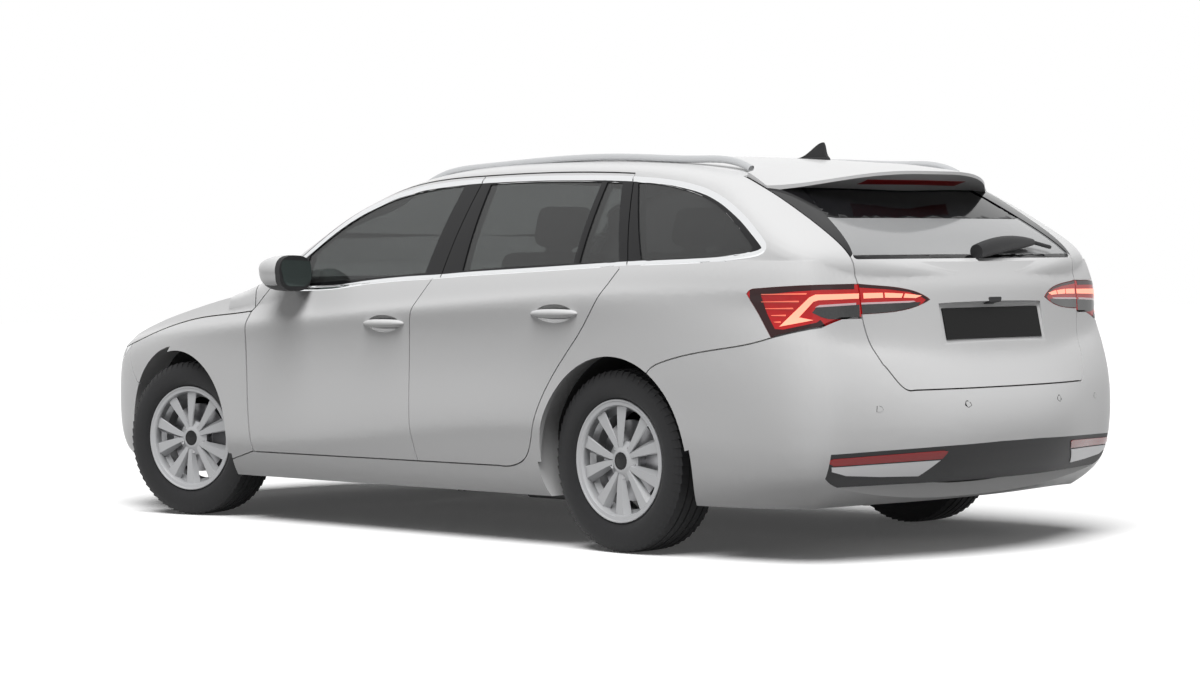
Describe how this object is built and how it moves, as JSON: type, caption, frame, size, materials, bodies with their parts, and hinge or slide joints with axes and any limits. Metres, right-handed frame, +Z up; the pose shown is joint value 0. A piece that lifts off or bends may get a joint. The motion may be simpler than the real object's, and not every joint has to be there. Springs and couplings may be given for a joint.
{
  "type": "station wagon",
  "caption": "Mid-size family estate car with hinged side doors, bonnet and tailgate, steered front wheels and rolling rear wheels.",
  "frame": {"origin": "on the ground, half way along the car and on its centre line", "axes": "+X forward, +Y to the car's left, +Z up"},
  "size_m": [4.6993, 2.0634, 1.462],
  "materials": {
    "black_plastic": "grained",
    "blank_plate": "blank",
    "body_paint": "light silver-grey metallic under clear coat",
    "disc_steel": "turned",
    "fabric": "woven, dark",
    "gloss_black": "piano black",
    "lamp_clear": "clear polycarbonate lens",
    "lamp_red": "red lens",
    "rail_alloy": "satin anodised",
    "steel": "as cast and painted",
    "tinted_glass": "grey tinted safety glass",
    "tyre": "rubber",
    "underbody": "dark seam-sealed paint",
    "wheel_alloy": "silver lacquer"
  },
  "bodies": {
    "shell": {"aerial": "black_plastic", "body_frame": "body_paint", "body_lamps": "lamp_red", "dashboard": "black_plastic", "engine": "steel", "exhaust": "steel", "floor_pan": "underbody", "front_bumper": "body_paint", "front_fenders": "body_paint", "front_intake": "black_plastic", "front_seats": "fabric", "front_struts": "steel", "front_subframe": "steel", "fuel_tank": "black_plastic", "grille": "black_plastic", "headlamps": "lamp_clear", "load_floor": "black_plastic", "quarter_glass": "tinted_glass", "rear_axle": "steel", "rear_bench": "fabric", "rear_bumper": "body_paint", "rear_valance": "black_plastic", "roof_rails": "rail_alloy", "steering_wheel": "black_plastic", "wheel_liners": "black_plastic", "windscreen": "tinted_glass"},
    "door_front_left": {"door_front_left": "body_paint", "glass_front_left": "tinted_glass", "mirror_left": "body_paint"},
    "door_front_right": {"door_front_right": "body_paint", "glass_front_right": "tinted_glass", "mirror_right": "body_paint"},
    "door_rear_left": {"door_rear_left": "body_paint", "glass_rear_left": "tinted_glass"},
    "door_rear_right": {"door_rear_right": "body_paint", "glass_rear_right": "tinted_glass"},
    "tailgate": {"tailgate": "body_paint", "tailgate_glass": "tinted_glass", "tailgate_blades": "gloss_black", "tailgate_lamps": "lamp_red", "spoiler": "body_paint", "rear_wiper": "black_plastic", "number_plate_rear": "blank_plate"},
    "bonnet": {"bonnet": "body_paint"},
    "knuckle_left": {"knuckle_left": "steel"},
    "knuckle_right": {"knuckle_right": "steel"},
    "wheel_front_left": {"rim_front_left": "wheel_alloy", "tyre_front_left": "tyre", "brake_disc_front_left": "disc_steel"},
    "wheel_front_right": {"rim_front_right": "wheel_alloy", "tyre_front_right": "tyre", "brake_disc_front_right": "disc_steel"},
    "wheel_rear_left": {"rim_rear_left": "wheel_alloy", "tyre_rear_left": "tyre", "brake_disc_rear_left": "disc_steel"},
    "wheel_rear_right": {"rim_rear_right": "wheel_alloy", "tyre_rear_right": "tyre", "brake_disc_rear_right": "disc_steel"}
  },
  "joints": [
    {"name": "door_front_left_hinge", "type": "hinge", "parent": "shell", "child": "door_front_left", "pos_m": [0.889, 0.909, 0.6], "axis": [0, 0, -1], "range_deg": [0, 67]},
    {"name": "door_rear_left_hinge", "type": "hinge", "parent": "shell", "child": "door_rear_left", "pos_m": [-0.12, 0.912, 0.6], "axis": [0, 0, -1], "range_deg": [0, 67]},
    {"name": "door_front_right_hinge", "type": "hinge", "parent": "shell", "child": "door_front_right", "pos_m": [0.889, -0.909, 0.6], "axis": [0, 0, 1], "range_deg": [0, 67]},
    {"name": "door_rear_right_hinge", "type": "hinge", "parent": "shell", "child": "door_rear_right", "pos_m": [-0.12, -0.912, 0.6], "axis": [0, 0, 1], "range_deg": [0, 67]},
    {"name": "tailgate_hinge", "type": "hinge", "parent": "shell", "child": "tailgate", "pos_m": [-1.622, 0, 1.378], "axis": [0, 1, 0], "range_deg": [0, 80]},
    {"name": "bonnet_hinge", "type": "hinge", "parent": "shell", "child": "bonnet", "pos_m": [0.84, 0, 1], "axis": [0, -1, 0], "range_deg": [0, 50]},
    {"name": "steer_left", "type": "hinge", "parent": "shell", "child": "knuckle_left", "pos_m": [1.463, 0.7115, 0.326], "axis": [0, 0, 1], "range_deg": [-50.4, 21.6]},
    {"name": "spin_front_left", "type": "hinge", "parent": "knuckle_left", "child": "wheel_front_left", "pos_m": [1.44808, 0.76962, 0.326], "axis": [-0.2487, 0.9686, 0], "continuous": true},
    {"name": "spin_rear_left", "type": "hinge", "parent": "shell", "child": "wheel_rear_left", "pos_m": [-1.223, 0.7675, 0.326], "axis": [0, 1, 0], "continuous": true},
    {"name": "steer_right", "type": "hinge", "parent": "shell", "child": "knuckle_right", "pos_m": [1.463, -0.7115, 0.326], "axis": [0, 0, 1], "range_deg": [-50.4, 21.6]},
    {"name": "spin_front_right", "type": "hinge", "parent": "knuckle_right", "child": "wheel_front_right", "pos_m": [1.47792, -0.76962, 0.326], "axis": [-0.2487, 0.9686, 0], "continuous": true},
    {"name": "spin_rear_right", "type": "hinge", "parent": "shell", "child": "wheel_rear_right", "pos_m": [-1.223, -0.7675, 0.326], "axis": [0, 1, 0], "continuous": true}
  ],
  "couplings": [
    {"joint": "steer_right", "follows": "steer_left", "ratio": 1}
  ]
}
